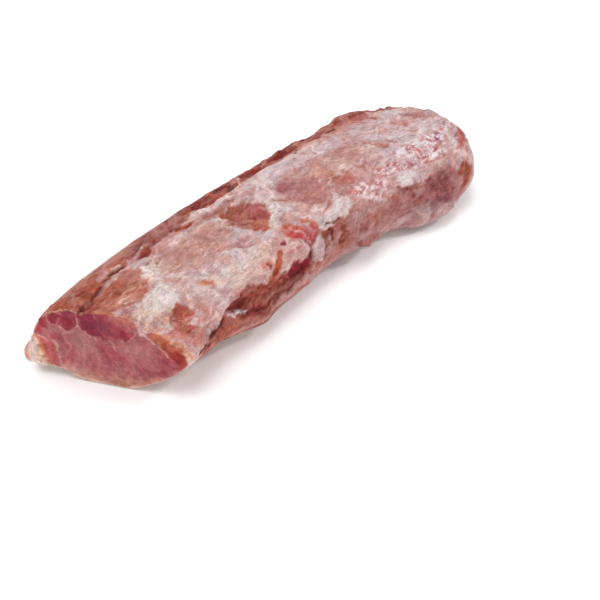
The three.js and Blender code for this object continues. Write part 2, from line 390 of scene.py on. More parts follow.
blood .95 1.4 -1.2: 178,-51 184,-52
crimson .5 1.4 -.3: 178,-60 184,-61
crimson .5 1.4 -.3: 190,-62 197,-61
ember .85 3.2 -.4: 173,-56 167,-60 160,-66
ember .75 4 -.2: 160,-66 153,-70 145,-72
rust .75 3 -.8: 158,-67 150,-71 146,-76
coral .8 4.5 0: 190,-42 198,-46 204,-48
patch crimson .55 4 0: 192,-46 206,-46 222,-50 224,-60 206,-60 196,-54
ember .6 1.8 -.2: 194,-41 200,-42 205,-46
crimson .8 2 -.4: 196,-52 202,-54
white .6 1.4 .4: 200,-48 206,-52 206,-57
ember .7 2 -.2: 212,-44 219,-46 223,-52 221,-57
crimson .7 2.2 -.2: 217,-51 218,-56
crimson .85 3.4 -.3: 205,-57 212,-61 219,-60
blood .7 1.2 -.5: 206,-60 212,-62
blood .6 1 -.5: 197,-53 201,-55
coral .6 2.2 0: 208,-60 216,-64
pit .7 1.3 -1: 202,-60 206,-70 210,-78 208,-84
clay .5 3 -.2: 218,-64 226,-62 232,-66
patch lilac .85 3 .6: 210,-86 213,-72 218,-63 227,-63 226,-74 218,-88
white .8 1.6 .3: 215,-79 218,-73 222,-67
umber .6 .9 -.5: 217,-64 221,-63
plum .6 1 -.5: 221,-86 227,-76 229,-67
silver .7 1.4 .3: 228,-84 232,-77 233,-70
patch rose .6 9 0: 236,-22 262,-20 290,-24 320,-26 320,-46 290,-48 262,-46 238,-40
patch lilac .95 2 1.2: 232,-53 240,-48 250,-46 256,-39 261,-37 264,-44 261,-51 252,-55 242,-56 235,-58
white .8 3 .4: 238,-53 250,-51 258,-44
umber .8 1.2 -.8: 233,-57 240,-60 248,-59
# wet, speckled meat beyond
patch rose .5 6 -.1: 264,-42 290,-40 302,-44 304,-58 280,-64 250,-62 266,-54
patch lilac .5 6 0: 346,-28 362,-24 392,-22 402,-32 396,-48 372,-52 350,-50
crimson .4 2 -.3: 352,-30 360,-34
crimson .4 2 -.3: 376,-30 386,-27
wine .4 2.4 -.3: 366,-44 378,-46
patch coral .3 4 -.2: 314,-36 330,-36 342,-40 338,-48 316,-48
crimson .5 2.4 -.3: 328,-39 334,-41
crimson .5 2 -.4: 394,-30 397,-36
coral .4 3 0: 308,-44 310,-52
patch lilac .95 2 1.4: 321,-55 330,-51 344,-54 349,-60 346,-67 334,-68 326,-64
umber .7 1.6 -.6: 321,-62 325,-67 330,-69
pink .6 3.5 .5: 352,-57 392,-60
white .8 4 .4: 328,-58 340,-59
lilac .6 2.4 .3: 356,-37 364,-38
lilac .6 3 .3: 380,-38 396,-40
rust .5 1.4 -.4: 362,-52 374,-54 386,-54

# the darker strip along the left shoulder
patch russet .75 6 0: 150,36 168,28 225,28 256,30 290,42 330,44 316,56 276,64 236,56 196,64 146,56
patch tan .5 4 .3: 108,34 122,34 136,56 120,60
brown .5 1.4 -.5: 122,28 130,40 136,52
brown .5 1.4 -.5: 106,32 114,44 120,54
wine .5 1.6 -.4: 124,40 128,50
rust .5 2 -.4: 140,32 146,42 150,50
silver .6 1.2 .3: 112,32 122,48
pink .6 1.4 .4: 128,28 138,40 146,52
# dark rusty hollows and paler lumps along it
brown .95 4.2 -1.2: 159,32 162,38 165,50
umber .5 2 -.6: 158,36 161,46
wine .5 1.4 -.4: 168,34 174,44 177,50
coral .6 3 1.2: 176,30 182,40 186,50
wine .6 2 -.3: 168,27 182,26
coral .5 2.4 .3: 205,30 209,40
coral .6 2.4 .3: 246,34 256,40
crimson .5 2 0: 258,34 264,38
rose .6 3 .3: 292,40 302,44
crimson .5 1.4 -.2: 180,32 186,44
pit .95 3.2 -1.2: 190,27 195,32
umber .9 3.4 -1.2: 196,35 202,44
rust .9 3 -.6: 190,38 192,44
umber .9 3 -1: 188,48 200,49
pink .8 4 1.2: 207,36 210,44 214,52
lilac .7 .8 .3: 207,32 212,39 215,45
patch brown .9 3 -1.2: 215,30 228,29 238,32 240,42 234,52 220,52 218,40
fat .7 2.4 .4: 215,44 220,52
umber .5 2 -.4: 222,34 230,42
crimson .7 2.4 .2: 233,46 239,52
pink .7 3.4 1.2: 244,40 250,46 254,52
wine .5 2 -.2: 255,43 259,50
brown .95 4 -1.4: 264,42 272,45 280,51 286,57
umber .5 1.6 -.5: 268,42 280,39
brown .5 1.4 -.4: 272,27 284,36
pink .6 4 1.2: 288,44 294,50
umber .85 2.4 -1: 304,47 310,52 316,56
wine .8 3.2 -.4: 312,39 316,44 322,50
brown .85 2.4 -.6: 326,38 332,38
rust .85 3.4 -.8: 338,44 345,47 350,50
coral .4 2 .2: 330,44 338,41
brown .6 3 -.5: 360,43 372,44
mauve .8 3 -.2: 360,32 366,38
apricot .6 2 .2: 350,34 355,41
ember .9 3.2 0: 393,33 399,38
rust .9 3.2 -.6: 128,25 135,22
rose .5 3 0: 108,23 121,22
rust .5 3 0: 91,29 99,33
white .8 2.4 .5: 147,28 154,27 160,23
cream .8 1.2 .5: 164,26 176,23 190,22 200,26 206,31
# the hidden flank below it
patch rose .6 14 0: 90,62 150,58 200,66 250,60 300,66 350,58 430,54 440,90 90,92
pink .5 2.4 .4: 150,64 190,60 240,64 280,60
dusk .5 3 -.4: 170,68 210,64 250,70
tan .5 3 .3: 182,52 190,60 204,66
tan .5 3 .3: 214,52 226,62 244,68
clay .4 5 -.4: 320,60 350,62 372,58
patch under .85 16 0: -10,82 -10,190 460,190 460,70 430,60 400,74 340,70 300,82 250,74 200,86 150,76 120,88
  60,78
patch fat .7 8 .2: 56,64 110,62 130,74 66,80
patch fat .7 8 .2: 226,64 282,68 270,78 216,76
patch rose .5 8 0: 140,72 210,70 222,86 150,88
patch rose .5 8 0: 320,70 392,66 380,82 330,84
patch cream .8 6 0: -10,84 -10,122 24,112 26,88
rose .4 3 -.3: 40,96 100,104 160,98 230,106 300,98
white .4 4 .3: 60,112 130,118 220,120 330,112
rose .3 2.4 -.3: 140,132 220,128 300,134 380,124
patch under .85 12 0: -10,-122 200,-128 460,-120 460,-190 -10,-190

# rises alone: the tail, the rim of the cut and the rounding of the far end
under 0 8 3: -6,97 -6,108 12,103
under 0 7 4: -6,114 -6,119 14,117
under 0 9 1.8: -6,127 -6,132 16,130
clay 0 9 2.4: -6,34 -6,62 14,56
under 0 12 -4.4: 400,44 413,33 422,24
under 0 13 2.8: 440,-10 434,-26 428,-40
under 0 10 2.2: -6,-42 -6,-70 14,-56
under 0 8 2: -6,-8 -6,-24 14,-18
under 0 10 -1.6: 322,54 340,54
under 0 9 2: 356,50 378,45
under 0 8 1.6: 280,57 300,55
under 0 10 -3.6: 36,-110 50,-112 68,-112
under 0 17 2.6: 346,-114 358,-113
"""

# The wet places, glossy and speckled with painted highlight: half width, how wet, and places
GLINTS = [
    (7, .25, [(28, -50), (34, -58)]), (4, .7, [(32, -62), (38, -58)]), (3, .2, [(78, -80), (106, -87)]),
    (4, .4, [(206, -58), (220, -60)]), (9, .75, [(282, -46), (306, -50)]),
    (6, .8, [(290, -58), (304, -60)]), (8, .7, [(316, -42), (338, -45)]),
    (9, 1, [(350, -34), (398, -36)]), (6, .8, [(350, -48), (392, -48)]),
    (5, .8, [(408, -34), (428, -28)]), (3, .5, [(50, 40), (60, 41)]),
]

# The cut face, as q,z
# white at the foot of the tail: its pale fat, lightened with painted light against the shade there
FACE_PAINT = """
# the eye of the loin, with its pale upper clouds and its seams
patch dove .6 7 0: 24,50 14,60 4,52 0,35 16,28
patch dove .55 7 0: -20,46 -36,56 -46,50 -52,42 -34,36 -22,38
patch wine .4 8 0: -50,44 -62,46 -74,38 -70,26 -54,26
patch cap .25 8 0: -4,48 -16,46 -24,34 -16,24 -6,32
patch wine .3 6 0: 30,40 22,38 20,22 30,18
pink .7 5 0: 30,11 8,6
patch tan .85 8 0: 38,4 28,12 -16,12 -40,14 -52,22 -60,12 -30,-2
patch pink .75 7 0: -56,16 -70,20 -84,34 -76,36 -66,26
pink .4 6 0: 24,15 12,13
wine .3 6 0: -16,38 -24,30
seam .45 .9 .1: 14,53 10,43 11,28 11,8
seam .3 1.1 .1: 4,52 0,39 -2,24 0,7
seam .6 .8 .2: -10,53 -16,49 -18,41
seam .5 .8 .1: -16,30 -20,24 -23,15
seam .3 .8 .1: -34,32 -40,26 -44,20
cap .35 4 0: -40,24 -50,22 -58,26
wine .35 3 0: -6,42 -8,34 -14,28
coral .4 2.4 0: 26,20 27,15
mauve .5 1 .1: 17,44 16,30 18,18
mauve .5 1 .1: -28,40 -32,30 -34,18
seam .5 1.1 .1: 26,44 23,40 23,34 27,29 30,23
seam .6 .9 .1: 35,42 33,47 22,55
# the small round muscles at the left
patch mauve .4 4 0: 44,56 31,57 29,46 41,44
patch wine .9 4 -.2: 57,44 52,56 47,66 41,70 42,57 48,46
crimson .7 3.4 0: 49,62 51,52
patch cap .9 4 -.3: 40,72 31,73 32,61 37,57 41,63
wine .6 1 0: 38,68 36,63 34,66
patch cap .75 4 -.3: 29,75 15,78 15,63 19,57 26,55 31,62
blood .6 2.6 0: 25,68 22,62
rose .3 .8 0: 26,71 20,70 18,65 20,60
patch wine .7 4 -.2: 40,48 32,50 30,42 38,41
seam .5 .9 .1: 41,72 42,63 38,57 33,59 31,66
seam .7 1.1 .2: 14,77 15,70 15,62
seam .6 1 .2: 15,62 19,56 22,53 26,54 31,58
seam .7 .9 .2: 15,62 8,55 5,53 1,53 0,50
# the dark cap muscle
patch wine .9 4.5 -.3: 14,79 0,82 -14,80 -27,76 -39,69 -35,62 -28,52 -22,53 -13,53 0,52 8,57 14,63
patch cap .6 7 -.1: 14,78 0,79 -12,72 -14,57 0,53 10,58
patch night .5 7 -.1: 12,74 5,73 -4,68 -4,57 4,56 10,61
patch cap .5 5 0: 14,79 4,79 2,72 8,66 14,68
patch violet .6 7 0: -2,69 -12,68 -13,58 -4,57
patch plum .3 7 0: 10,76 -14,74 -20,62 -14,55 4,55 12,64
mauve .35 4 0: -22,70 -32,66
blood .4 3.4 0: -24,62 -27,56
seam .4 .7 .1: 1,79 -1,73 -3,70
rose .35 .8 .1: -4,66 -3,60 -8,56 -14,55
seam .6 1.1 .2: -39,69 -34,62 -30,55 -26,52 -23,53
rose .5 3 0: -8,82 -20,80
rose .5 4.5 0: -16,76 -27,72 -35,67
amber .45 4 .2: -18,82 -37,74
# the fat corner and the red wedge at the right
patch fat .95 3 .3: -35,76 -44,76 -49,70 -45,64 -41,62 -39,68
patch amber .65 5 .2: -46,72 -58,68 -84,50 -84,40 -73,38 -58,51 -51,60
patch ember .5 6 0: -52,64 -60,62 -80,48 -80,38 -72,38 -62,48
patch brown .45 6 0: -52,61 -62,58 -80,47 -74,40 -62,48
patch rust .6 6 0: -56,60 -66,56 -82,48 -82,38 -73,39 -63,46
patch blood .6 7 0: -62,52 -74,50 -84,42 -76,37 -66,44
clay .35 4 0: -74,36 -82,44
patch cap .45 6 0: -54,50 -66,44 -78,34 -72,32 -58,42
patch wine .35 6 0: -58,58 -72,52 -84,42 -76,36 -62,46
seam .8 1.4 .2: -41,69 -45,63 -52,57
seam .7 .9 .2: -52,57 -56,53 -60,51 -64,44
rose .4 .8 .1: -64,44 -68,42 -73,37
# the left strip and the tail
patch coral .35 4 0: 54,44 43,41 36,36 34,16 38,8 46,10 50,27
patch wine .5 4 0: 50,42 36,38 35,18 39,12 45,24
amber .8 2 0: 52,42 46,18 42,12 36,9
rose .5 .9 0: 46,38 42,28 40,20
seam .7 1.1 .1: 55,44 46,43 43,40
seam .8 1.3 .2: 37,40 35,37 35,31 33,24 32,17 29,10
patch cream .97 3 .5: 60,46 54,42 46,14 38,8 54,5 68,8 68,36
lilac .8 3 0: 58,38 58,26 57,16
white .8 5 .2: 60,9 38,5
amber .8 2.4 .2: 60,42 63,33 65,24 63,15
# the rims
cream .8 2.2 .3: 40,8 32,9 24,6 10,3 -8,1 -26,1 -44,5 -56,11
"""

# --- Noise ---
def smoothstep(t):
    t = np.clip(t, 0.0, 1.0)
    return t * t * (3.0 - 2.0 * t)


def eased(value, start, end):
    """0 before the start and 1 past the end, with a soft step between them."""
    return smoothstep((value - start) / (end - start))


def lattice(ix, iy, iz, seed):
    """A repeatable random number from -1 to 1 for each whole-number place."""
    word = 0xFFFFFFFF
    h = (ix * 374761393 + iy * 668265263 + iz * 1442695041 + seed * 2654435761) & word
    h = ((h ^ (h >> 13)) * 1274126177) & word
    h = ((h ^ (h >> 16)) * 2246822519) & word
    return (h ^ (h >> 15)).astype(np.float64) / 0x7FFFFFFF - 1.0


def noise(points, size, seed, octaves=3):
    """Smooth noise of about -1 to 1, with features of the given size in millimetres."""
    total = np.zeros(len(points))
    weights = 0.5 ** np.arange(octaves)
    for octave, weight in enumerate(weights):
        p = (points / size * 2.0 ** octave + 37.0 * octave).T
        cell = np.floor(p).astype(np.int64)
        f = p - cell
        w = f * f * f * (f * (f * 6.0 - 15.0) + 10.0)
        for corner in np.ndindex(2, 2, 2):
            x, y, z = [w[k] if corner[k] else 1 - w[k] for k in range(3)]
            at = [cell[k] + corner[k] for k in range(3)]
            total += weight * x * y * z * lattice(*at, seed + octave)
    return total / weights.sum() * 1.6


def warped(points, reach, size, seed):
    """The places themselves, shaken so that what is drawn on them wanders."""
    return points + reach * np.stack([noise(points, size, seed + 7 * k, 2) for k in range(3)], 1)


def along_fibres(points, stretch):
    return points * np.array([1 / stretch, 1, 1])


# --- Reading the CAD solid ---
def middle_y(x):
    return BOW_Y - BOW_DROP * ((x - BOW_AT) / BOW_OVER) ** 2


def solid_tree():
    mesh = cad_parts[NODE].data
    verts = [v.co / MM for v in mesh.vertices]
    return BVHTree.FromPolygons(verts, [tuple(p.vertices) for p in mesh.polygons])


def row_rays(angles):
    """For each row: its place `a`, the middle it is cast from, and a direction for each angle."""
    length = FAR_START - CUT_X
    straight = int(round(length / ROW_STEP))
    c, s = np.cos(angles), np.sin(angles)
    rows = []
    for i in range(straight + 1):
        a = length * i / straight
        x = CUT_X + max(a, INSET)
        y = middle_y(x)
        near = 1.0 - smoothstep(a / SLANT_FADES_OVER)
        lean = near * (CUT_TILT * s - CUT_SLANT * c)
        middle = Vector((x - near * CUT_SLANT * y, y, HALF_HEIGHT))
        rows.append((a, middle, np.stack([lean, c, s], 1)))
    middle = Vector((FAR_START, middle_y(FAR_START), HALF_HEIGHT))
    for i in range(1, FAN_ROWS + 1):
        turn = 0.5 * math.pi * i / (FAN_ROWS + 0.6)  # just short of the tip
        fan = np.stack([np.full_like(c, math.sin(turn)), c * math.cos(turn), s * math.cos(turn)], 1)
        rows.append((length + turn * FAN_RADIUS, middle, fan))
    return rows


def blurred(field, sigma, axis, wrap):
    reach = int(3 * sigma)
    kernel = np.exp(-0.5 * (np.arange(-reach, reach + 1) / sigma) ** 2)
    kernel /= kernel.sum()
    pad = [(0, 0), (0, 0)]
    pad[axis] = (reach, reach)
    padded = np.pad(field, pad, mode="wrap" if wrap else "edge")
    return np.apply_along_axis(lambda line: np.convolve(line, kernel, mode="valid"), axis, padded)


def flank_columns():
    """Shares of a flank's length, from 0 at the top line to 1 at the bottom line."""
    t = np.arange(HALF_AROUND + 1) / HALF_AROUND
    upper = t / UPPER_COLUMNS * UPPER_SHARE
    under = UPPER_SHARE + (t - UPPER_COLUMNS) / (1 - UPPER_COLUMNS) * (1 - UPPER_SHARE)
    return np.where(t < UPPER_COLUMNS, upper, under)


def resampled(loop, columns):
    """The loop's points at the wanted shares of each flank, starting from the bottom line."""
    closed = np.vstack([loop, loop[:1]])
    arc = np.concatenate([[0.0], np.cumsum(np.linalg.norm(np.diff(closed, axis=0), axis=1))])
    top = arc[RAYS // 2]
    right = top * (1 - columns[:0:-1])  # bottom line up to just before the top line
    left = top + (arc[-1] - top) * columns[:-1]
    wanted = np.concatenate([right, left])
    points = np.stack([np.interp(wanted, arc, closed[:, k]) for k in range(3)], 1)
    return points, wanted - top


def read_surface():
    """Points on a grid of rows and columns, with their `a` and `s`."""
    tree = solid_tree()
    # from the bottom line, up the right flank, over the top and down the left flank
    angles = -0.5 * np.pi - 2 * np.pi * np.arange(RAYS) / RAYS
    rows = row_rays(angles)
    radius = np.zeros((len(rows), RAYS))
    for i, (_, middle, directions) in enumerate(rows):
        hits = [tree.ray_cast(middle, Vector(d))[3] for d in directions]
        radius[i] = hits / np.linalg.norm(directions, axis=1)
    radius = blurred(blurred(radius, RAY_BLUR, 1, True), ROW_BLUR, 0, False)
    columns = flank_columns()
    points = np.zeros((len(rows), 2 * HALF_AROUND, 3))
    around = np.zeros((len(rows), 2 * HALF_AROUND))
    for i, (_, middle, directions) in enumerate(rows):
        loop = np.array(middle) + directions * radius[i][:, None]
        loop[:, 2] = np.maximum(loop[:, 2], 0.0)
        points[i], around[i] = resampled(loop, columns)
    along = np.array([row[0] for row in rows])
    return points, along, around


# --- Painting ---
def read_paint(text):
    """Yields for each row: whether it is a patch, its tone, cover, size, rise and places."""
    for row in text.replace("\n  ", " ").splitlines():
        if row and not row.startswith("#"):
            head, places = row.split(":")
            *kind, tone, cover, size, rise = head.split()
            places = [tuple(map(float, place.split(","))) for place in places.split()]
            yield kind == ["patch"], tone, float(cover), float(size), float(rise), places


def line_distance(p, places):
    best = np.full(len(p), np.inf)
    for start, end in zip(places[:-1], places[1:]):
        start, run = np.array(start), np.subtract(end, start)
        t = np.clip((p - start) @ run / (run @ run), 0, 1)
        best = np.minimum(best, np.linalg.norm(p - start - t[:, None] * run, axis=1))
    return best


def inside(p, corners):
    odd = np.zeros(len(p), bool)
    for (x0, y0), (x1, y1) in zip(corners, corners[1:] + corners[:1]):
        if y0 == y1:
            continue
        crosses = (y0 > p[:, 1]) != (y1 > p[:, 1])
        odd ^= crosses & (p[:, 0] < x0 + (p[:, 1] - y0) * (x1 - x0) / (y1 - y0))
    return odd


def coverage(is_patch, size, places, plane, warp, ragged):
    """Which vertices a line or patch reaches, and how fully, from 0 to 1."""
    margin = size * 2 + 5
    low, high = np.min(places, axis=0) - margin, np.max(places, axis=0) + margin
    chosen = np.nonzero(((plane > low) & (plane < high)).all(axis=1))[0]
    loose = min(1.0, 0.35 + size / 6)  # thin lines wander less
    p = plane[chosen] + warp[chosen] * loose
    if is_patch:
        d = line_distance(p, places + places[:1])
        d = np.where(inside(p, places), -d, d)
        return chosen, smoothstep(0.5 - (d + ragged[chosen] * size * 0.5) / size)
    d = line_distance(p, places) + ragged[chosen] * size * 0.35
    return chosen, smoothstep((size * 1.35 - d) / (size * 0.8 + 0.4))


def srgb(tone):
    return np.array(TONES[tone]) / 255


def tint(colour, tone, share):
    colour += (tone - colour) * share[:, None]


def paint(colour, height, plane, points, text, broken, wander):
    """Lays a text's lines and patches, in order, on the colour and the height."""
    warp = wander * np.stack([2.2 * noise(points, 9.0, 11 + k) + 0.8 * noise(points, 3.0, 31 + k)
                              for k in range(2)], 1)
    ragged = noise(points, 4.0, 51, 2)
    for is_patch, tone, cover, size, rise, places in read_paint(text):
        chosen, full = coverage(is_patch, size, places, plane, warp, ragged)
        mask = full * cover * (1 - 0.22 * broken[chosen])
        colour[chosen] += (srgb(tone) - colour[chosen]) * mask[:, None]
        height[chosen] += full * rise


def ramp(names, t):
    stops = np.stack([srgb(n) for n in names])
    t = np.clip(t, 0, 1) * (len(names) - 1)
    return np.stack([np.interp(t, np.arange(len(names)), stops[:, k]) for k in range(3)], 1)


def wetness(plane):
    wet = np.zeros(len(plane))
    for size, share, places in GLINTS:
        d = line_distance(plane, places)
        wet = np.maximum(wet, share * smoothstep((size * 1.4 - d) / (size * 1.1)))
    return wet


# --- The outside ---
def outside_paint(points, plane):
    """Colour and height of the outside before any shading."""
    loose = warped(points, 7.0, 24.0, 81)
    blotch = noise(along_fibres(points, 1.5), 20.0, 1)
    streak = noise(along_fibres(loose, 2.6), 5.5, 5)
    fine = noise(along_fibres(loose, 1.6), 2.7, 8, 2)
    colour = ramp(BASE_RAMP, 0.45 + 0.30 * blotch + 0.08 * streak + 0.05 * fine)
    colour += noise(loose, 10.0, 15, 2)[:, None] * np.array([0.03, -0.01, -0.035])
    height = np.zeros(len(points))
    broken = smoothstep(0.5 + 1.1 * streak + 0.4 * fine)
    paint(colour, height, plane, points, OUTSIDE_PAINT, broken, 1.0)
    colour *= (1 + 0.05 * streak + 0.06 * fine)[:, None]
    warm_shoulder(colour, plane)
    height += 0.9 * (colour @ LUMINANCE - 0.62)
    height += 0.6 * noise(points, 26.0, 61) + 0.2 * noise(along_fibres(points, 1.5), 8.0, 64)
    height += 0.06 * noise(along_fibres(points, 1.6), 3.2, 68, 2)
    add_side_folds(colour, height, points, plane)
    add_folds(colour, height, points, plane)
    add_speckle(colour, height, points, plane)
    return colour, height - np.mean(height)


def warm_shoulder(colour, plane):
    """Takes some green and blue off the left shoulder, past the near end."""
    a, s = plane.T
    shoulder = eased(s, 24, 30) * eased(s, 62, 46) * eased(a, 90, 130)
    colour -= shoulder[:, None] * np.array([0.0, 0.035, 0.05])


def add_side_folds(colour, height, points, plane):
    """Slanting folds of brown and lilac meat on the right flank, past the ledge."""
    a, s = plane.T
    across = a - 0.7 * s + 5.0 * noise(points, 16.0, 104, 2)
    along = a + s
    fold = noise(np.stack([across / 7.0, along / 22.0, along / 60.0], 1), 1.0, 101, 3)
    where = eased(s, -60, -68) * eased(a, 235, 275) * eased(s, -125, -105)
    tint(colour, srgb("plum"), smoothstep(-fold / 0.5 - 0.2) * where * 0.45)
    tint(colour, srgb("silver"), smoothstep(fold / 0.5 - 0.2) * where * 0.4)
    height += 0.6 * fold * where


def add_folds(colour, height, points, plane):
    """Soft pillows of meat with redder creases between them, strongest on top of the far end."""
    a, s = plane.T
    far = eased(a, 200, 320)
    calm = 1 - 0.7 * eased(s, 18, 34)
    pillow = np.abs(noise(warped(points, 5.0, 24.0, 91), 24.0, 95, 2))
    crease = smoothstep(1 - pillow / 0.13)
    height += (0.3 + 1.1 * far * calm) * (np.minimum(pillow, 0.5) - 0.3)
    tint(colour, srgb("rose"), crease * (0.12 + 0.16 * far))


def add_speckle(colour, height, points, plane):
    """Bright beads of painted highlight and wine-red beads over the wet places, and a dark grain on bare
    meat.
    """
    bead = noise(along_fibres(points, 1.7), 2.7, 111, 3)
    bare = eased(colour @ LUMINANCE, 0.60, 0.40)
    colour *= (1 + 0.16 * bead * bare)[:, None]
    height += 0.15 * bead * bare
    wet = wetness(plane) * smoothstep(0.75 + 1.0 * noise(points, 9.0, 114, 2))
    clump = 0.6 * noise(points, 7.0, 118, 2)
    # the bright beads are painted highlight, glints laid into the colour
    pale = smoothstep((bead - 0.06 + clump) / 0.36) * wet
    red = smoothstep((-bead + 0.02 - 0.5 * clump) / 0.4) * wet * 0.85
    deep = smoothstep(0.5 + noise(points, 6.0, 117, 2))[:, None]
    tint(colour, srgb("sheen"), pale)
    tint(colour, deep * srgb("wine") + (1 - deep) * srgb("coral"), red)
    height += 0.5 * bead * wet


def grid_normals(points):
    """Outward unit normals of the grid of rows and columns."""
    along = np.gradient(points, axis=0)
    around = np.roll(points, -1, axis=1) - np.roll(points, 1, axis=1)
    normal = np.cross(along, around)
    return normal / (np.linalg.norm(normal, axis=2, keepdims=True) + 1e-9)


def raised_skin(points, plane, height):
    """The outside with its relief, the rim of the cut, and the way in from each of its points."""
    count = points.shape[1]
    flat = points.reshape(-1, 3)
    normals = grid_normals(points).reshape(-1, 3)
    # by the cut the relief keeps to the cut plane, and near the ground it fades out
    hold = eased(plane[:, 0], -1.0, 3.0)[:, None]
    off_cut = normals - (normals @ CUT_NORMAL)[:, None] * CUT_NORMAL
    direction = hold * normals + (1 - hold) * off_cut
    lift = height * smoothstep(flat[:, 2] / 7.0)
    skin = flat + direction * lift[:, None]
    skin[:, 2] = np.maximum(skin[:, 2], 0.0)
    rim = skin[:count].copy()
    rim[:, 0] = on_cut(rim[:, 1], rim[:, 2])
    inward = rim.mean(axis=0) - rim
    inward /= np.linalg.norm(inward, axis=1, keepdims=True)
    skin[:count] = rim + inward * RIM_DROP - CUT_NORMAL * RIM_BACK
    skin[count:2 * count] += inward * SECOND_DROP
    return skin, rim, inward


# --- The cut face ---
CUT_NORMAL = np.array([-1.0, -CUT_SLANT, CUT_TILT])
CUT_NORMAL /= np.linalg.norm(CUT_NORMAL)


def on_cut(y, z):
    return CUT_X - CUT_SLANT * y + CUT_TILT * (z - HALF_HEIGHT)


def face_rings(rim):
    """Points of the cut plane, in rings from just inside its rim to its middle."""
    middle = rim.mean(axis=0)
    shares = 1 - np.arange(1, FACE_RINGS) / FACE_RINGS
    calm = smoothstep(np.arange(1, FACE_RINGS) / 8.0)[:, None, None]
    edge = rim + (blurred(rim, 6, 0, True) - rim) * calm
    rings = middle + shares[:, None, None] * (edge - middle)
    points = np.vstack([rings.reshape(-1, 3), middle])
    points[:, 0] = on_cut(points[:, 1], points[:, 2])
    return points


def face_paint(points, plane):
    """Colour and height of the cut face before any shading."""
    fine = noise(points, 2.4, 71, 2)
    cloud = noise(points, 14.0, 74)
    strand = noise(points * np.array([1, 1, 0.4]), 2.6, 79, 2)
    colour = np.tile(srgb("eye"), (len(points), 1))
    height = 0.35 * noise(points, 13.0, 77)
    paint(colour, height, plane, points, FACE_PAINT, smoothstep(0.5 + fine), 0.6)
    colour *= (1 + 0.05 * cloud + 0.05 * fine + 0.06 * strand)[:, None]
    return colour, height


def build_face(rim):
    """The cut face's points with their relief, their places and their tones."""
    points = face_rings(rim)
    places = np.stack([points[:, 1] / math.cos(math.atan(CUT_SLANT)), points[:, 2]], 1)
    tones, height = face_paint(points, places)
    ring = np.repeat(np.arange(1, FACE_RINGS), len(rim))
    fade = np.append(smoothstep(ring / 5.0), 1.0)
    return points + CUT_NORMAL * (height * fade)[:, None], places, tones


# --- The mesh ---
def build_meat():
    """The vertices, their tones and places, and how many rows and columns they stand in."""
    points, along, around = read_surface()
    rows, count = points.shape[:2]
    plane = np.stack([np.repeat(along, count), around.reshape(-1)], 1)
    colour, height = outside_paint(points.reshape(-1, 3), plane)
    skin, rim, inward = raised_skin(points, plane, height)
    face, face_places, face_tones = build_face(rim + inward * (RIM_DROP + FACE_GAP))
    pole = skin[-count:].mean(axis=0) + np.array([0.2, 0, 0])
    verts = np.vstack([skin, face, pole])
    tones = np.vstack([colour, face_tones, colour[-count:].mean(axis=0)])
    places = np.vstack([plane, face_places + np.array([0, FACE_PLACE]), [along[-1], 0]])
    return verts, tones, places, rows, count


def meat_faces(rows, count):
    """Quads of the outside and the cut's rings, and the triangles that close their middles."""
    index = np.arange(rows * count).reshape(rows, count)
    ahead = np.roll(index, -1, axis=1)
    body = np.stack([index[:-1], index[1:], ahead[1:], ahead[:-1]], -1).reshape(-1, 4)
    first = rows * count
    inner = first + np.arange((FACE_RINGS - 1) * count).reshape(FACE_RINGS - 1, count)
    rings = np.vstack([index[:1], inner])
    turned = np.roll(rings, -1, axis=1)
    cut = np.stack([rings[:-1], turned[:-1], turned[1:], rings[1:]], -1).reshape(-1, 4)
    middle = first + (FACE_RINGS - 1) * count
    centre = [(int(a), int(b), middle) for a, b in zip(rings[-1], turned[-1])]
    tip = [(int(b), int(a), middle + 1) for a, b in zip(index[-1], ahead[-1])]
    return body.tolist() + cut.tolist() + centre + tip


def own_colour(tones, upward):
    """The surface's own linear colour and alpha, from its look under the studio's light."""
    seen = np.clip(tones, 0, 1)
    seen = np.where(seen <= 0.04045, seen / 12.92, ((seen + 0.055) / 1.055) ** 2.4)
    light = SIDE_LIGHT + (TOP_LIGHT - SIDE_LIGHT) * np.clip(upward, 0, 1)
    own = np.clip((seen - GLOSS_SHARE) / light[:, None], 0.004, 1)
    return np.column_stack([own, np.ones(len(own))])


def add_layer(mesh, name, values, kind="FLOAT", field="value"):
    layer = mesh.attributes.new(name, kind, "POINT")
    layer.data.foreach_set(field, values.astype(np.float32).ravel())


def add_uv(mesh, name, places):
    layer = mesh.uv_layers.new(name=name)
    loops = np.zeros(len(mesh.loops), dtype=np.int32)
    mesh.loops.foreach_get("vertex_index", loops)
    layer.data.foreach_set("uv", places[loops].astype(np.float32).ravel())


def link(name, data):
    thing = bpy.data.objects.new(name, data)
    bpy.context.scene.collection.objects.link(thing)
    return thing


def add_meat():
    verts, tones, places, rows, count = build_meat()
    mesh = bpy.data.meshes.new("loin")
    mesh.from_pydata((verts * MM).tolist(), [], meat_faces(rows, count))
    mesh.shade_smooth()
    normals = np.zeros(len(verts) * 3, dtype=np.float32)
    mesh.vertices.foreach_get("normal", normals)
    on_face = places[:, 1] > FACE_PLACE / 2
    add_layer(mesh, "tone", own_colour(tones, normals[2::3]), "FLOAT_COLOR", "color")
    add_layer(mesh, "wet", np.where(on_face, FACE_WET, wetness(places)))
    add_layer(mesh, "fatness", eased(tones @ LUMINANCE, 0.50, 0.80))
    add_layer(mesh, "cut", on_face)
    add_uv(mesh, "rows", places / 100.0)
    return link("loin", mesh)


